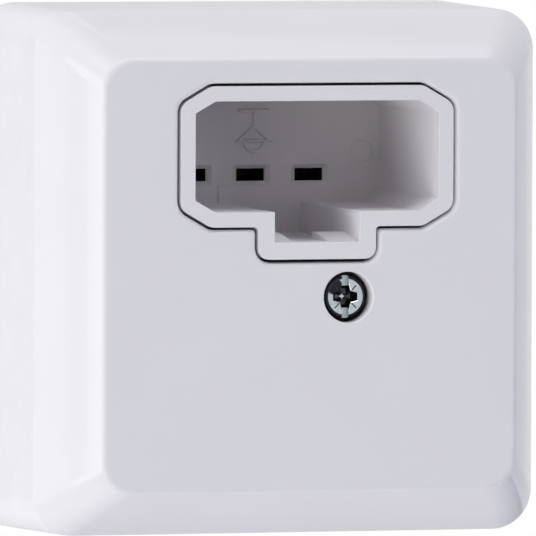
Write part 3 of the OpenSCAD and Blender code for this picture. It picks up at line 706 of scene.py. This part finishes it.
def screw_cutters():
    """What the press leaves open in the head: blade slot, driver recess and four tick marks."""
    above = HEAD_FACE + HEAD_H
    slot_shape = rectangle(SCREW_X, SCREW_Z, BLADE_SLOT_W / 2, HEAD_D)
    slot = lofted(bmesh.new(), [(slot_shape, above), (slot_shape, HEAD_FACE - BLADE_SLOT_DEPTH)])
    mouth = 1 + HEAD_H * (1 - RECESS_SHRINK) / RECESS_DEPTH
    recess = lofted(bmesh.new(), [
        (recess_outline(mouth), above),
        (recess_outline(RECESS_SHRINK), HEAD_FACE - RECESS_DEPTH),
        (recess_outline(RECESS_TIP_SHRINK), HEAD_FACE - RECESS_TIP_DEPTH)])
    ticks = bmesh.new()
    tick = rectangle((TICK_NEAR + TICK_FAR) / 2, 0, (TICK_FAR - TICK_NEAR) / 2, TICK_W / 2)
    for i in range(4):
        shape = [SCREW_CENTRE + turned(p, pi / 4 + pi / 2 * i) for p in tick]
        lofted(ticks, [(shape, above), (shape, HEAD_FACE - TICK_DEPTH)])
    return [slot, recess, ticks]


def screw_profile():
    """(radius, depth) from the tip of the thread to the rounded edge of the head."""
    under = HEAD_FACE - HEAD_H
    tip = under - SHANK_LEN
    root = SHANK_D / 2 - THREAD_H
    profile = [(root, tip)]
    for i in range(int(SHANK_LEN / THREAD_PITCH) - 1):
        foot = tip + i * THREAD_PITCH
        profile += [(root, foot + THREAD_PITCH * THREAD_START),
                    (SHANK_D / 2, foot + THREAD_PITCH * THREAD_CREST),
                    (root, foot + THREAD_PITCH * THREAD_END)]
    profile += [(SHANK_D / 2, under), (HEAD_D / 2, under)]
    for i in range(CREASE_STEPS + 1):
        a = pi / 2 * i / CREASE_STEPS
        profile.append((HEAD_D / 2 - HEAD_EDGE_R * (1 - cos(a)),
                        HEAD_FACE - HEAD_EDGE_R * (1 - sin(a))))
    return profile


def from_axis(point):
    """Distance of a point from the screw's axis, in millimetres."""
    return (Vector((point.x, point.z)) / MM - SCREW_CENTRE).length


def screw_finish(face):
    """Which of the screw's three finishes a face has: a lit copy of the zinc, painted highlight, on
    the face, slot walls, recess tip and shank; a shaded copy, painted shade, in the recess and
    round the edge; and a darker copy, painted shade, on the slot floor.
    """
    centre = face.calc_center_median()
    depth = -centre.y / MM

    def lies_at(level):
        return face.normal.y < -FRONTAL and abs(depth - level) < 2 * TOLERANCE

    slot_side = abs(face.normal.x) > SIDEWAYS and abs(centre.x / MM - SCREW_X) < BLADE_SLOT_W
    # The small flat at the bottom of the recess takes the lit copy, a painted glint
    recess_tip = (lies_at(HEAD_FACE - RECESS_TIP_DEPTH)
                  and from_axis(centre) < RECESS_ARM * RECESS_TIP_SHRINK)
    if lies_at(HEAD_FACE - BLADE_SLOT_DEPTH):
        return SHADED_SLOT_FINISH
    if depth < HEAD_FACE - HEAD_H or lies_at(HEAD_FACE) or recess_tip:
        return LIT_FINISH
    # Slot walls beyond the recess take the lit copy, a painted highlight
    if slot_side and from_axis(centre) > RECESS_ARM:
        return LIT_FINISH
    return SHADED_FINISH


def make_cover_screw():
    blank = lofted(bmesh.new(), [(circle(SCREW_X, SCREW_Z, radius, WELL_STEPS), depth)
                                 for radius, depth in screw_profile()])
    bm = carved(blank, screw_cutters())
    bm.normal_update()
    for face in bm.faces:
        face.material_index = screw_finish(face)
    # Thin rims round the recess and tick marks take the lit copy of the zinc, a painted highlight
    # along their edges
    rims = [edge for edge in bm.edges
            if SHADED_FINISH in [face.material_index for face in edge.link_faces]
            and min(-v.co.y / MM for v in edge.verts) > HEAD_FACE - TOLERANCE
            and max(from_axis(v.co) for v in edge.verts) < TICK_FAR]
    bmesh.ops.bevel(bm, geom=rims, offset=RECESS_EDGE_R * MM, segments=1, profile=0.5,
                    material=LIT_FINISH, affect="EDGES", clamp_overlap=True)
    return finished(bm, "cover_screw_zinc", [ZINC_LIT_FACE, ZINC_SHADE, ZINC_SHADED_SLOT], SCREW_SMOOTH_ANGLE)


dress(make_cover_screw(), "zinc_steel", "cover_screw")


# Finishes of the pieces that keep their solids

NODE_FINISH = {
    "cover_nut": ZINC, "terminal_screws": ZINC, "fixing_screws": ZINC, "clamp_screws": ZINC,
    "wire_plate_live": ZINC, "wire_plate_neutral": ZINC, "wire_plate_earth": ZINC,
    "contact_live": CONTACT_SHADED_BRONZE, "contact_neutral": CONTACT_SHADED_BRONZE,
    "contact_earth": CONTACT_SHADED_BRONZE,
    "terminal_live": BRASS, "terminal_neutral": BRASS, "terminal_earth": BRASS,
    "rear_insulator": INNER_PLASTIC, "terminal_block": INNER_PLASTIC,
    "cable_clamp": INNER_PLASTIC, "cable_grommet": RUBBER,
}

for node, material in NODE_FINISH.items():
    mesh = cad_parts[node].data
    mesh.materials.clear()
    mesh.materials.append(material)


# Light and floor

def light_path_mix(nodes, links, rays, plain, other):
    """The plain shader, but the other one for the named kinds of ray."""
    path = nodes.new("ShaderNodeLightPath")
    factor = path.outputs[rays[0]]
    for kind in rays[1:]:
        either = nodes.new("ShaderNodeMath")
        either.operation = "MAXIMUM"
        links.new(factor, either.inputs[0])
        links.new(path.outputs[kind], either.inputs[1])
        factor = either.outputs["Value"]
    mix = nodes.new("ShaderNodeMixShader")
    links.new(factor, mix.inputs["Fac"])
    links.new(plain, mix.inputs[1])
    links.new(other, mix.inputs[2])
    return mix.outputs["Shader"]


def set_world():
    """White behind the object, also where metal mirrors it, and an even soft light on it."""
    world = bpy.data.worlds.new("studio")
    bpy.context.scene.world = world
    world.use_nodes = True
    nodes, links = world.node_tree.nodes, world.node_tree.links
    nodes.clear()
    soft = nodes.new("ShaderNodeBackground")
    soft.inputs["Strength"].default_value = ROOM_LIGHT
    white = nodes.new("ShaderNodeBackground")
    white.inputs["Strength"].default_value = 1.0
    for background in (soft, white):
        background.inputs["Color"].default_value = (1, 1, 1, 1)
    out = nodes.new("ShaderNodeOutputWorld")
    rays = ["Is Camera Ray", "Is Glossy Ray", "Is Transmission Ray"]
    mixed = light_path_mix(nodes, links, rays, soft.outputs[0], white.outputs[0])
    links.new(mixed, out.inputs["Surface"])


def make_floor():
    """A plain pale floor that lights the outlet from below. The camera sees through it."""
    bm = bmesh.new()
    bmesh.ops.create_grid(bm, x_segments=1, y_segments=1, size=FLOOR_HALF * MM)
    floor = object_of(bm, "floor")
    floor.location.z = FLOOR_Z * MM
    material, nodes, links, shader = new_material("floor_paint")
    shader.inputs["Base Color"].default_value = (*FLOOR_COLOUR, 1)
    shader.inputs["Roughness"].default_value = FLOOR_ROUGHNESS
    clear = nodes.new("ShaderNodeBsdfTransparent")
    mixed = light_path_mix(nodes, links, ["Is Camera Ray"], shader.outputs[0], clear.outputs[0])
    links.new(mixed, nodes["Material Output"].inputs["Surface"])
    floor.data.materials.append(material)


def area_light(name, place_mm, size_mm, watts, colour):
    """A rectangular lamp that faces the outlet."""
    data = bpy.data.lights.new(name, "AREA")
    data.shape = "RECTANGLE"
    data.size = size_mm[0] * MM
    data.size_y = size_mm[1] * MM
    data.energy = watts
    data.color = colour
    lamp = bpy.data.objects.new(name, data)
    place = Vector(place_mm)
    lamp.location = place * MM
    lamp.rotation_euler = (LIT_POINT - place).to_track_quat("-Z", "Y").to_euler()
    bpy.context.scene.collection.objects.link(lamp)


make_floor()
set_world()
for lamp in LAMPS:
    area_light(*lamp)


# Camera

def place_camera():
    ahead = Vector((sin(AZIMUTH) * cos(ELEVATION), cos(AZIMUTH) * cos(ELEVATION),
                    -sin(ELEVATION)))
    level = Vector((cos(AZIMUTH), -sin(AZIMUTH), 0))
    up = level.cross(ahead)
    right = level * cos(ROLL) + up * sin(ROLL)
    top = up * cos(ROLL) - level * sin(ROLL)
    data = bpy.data.cameras.new("photo_camera")
    data.sensor_width = SENSOR_MM
    data.lens = LENS_MM
    data.clip_start = NEAREST_M
    data.clip_end = FARTHEST_M
    camera = bpy.data.objects.new("photo_camera", data)
    turn = Matrix((right, top, -ahead)).transposed().to_4x4()
    place = (Vector(AIM) - ahead * DISTANCE) * MM
    camera.matrix_world = Matrix.Translation(place) @ turn
    bpy.context.scene.collection.objects.link(camera)
    bpy.context.scene.camera = camera


place_camera()
bpy.context.scene.view_settings.view_transform = "Standard"
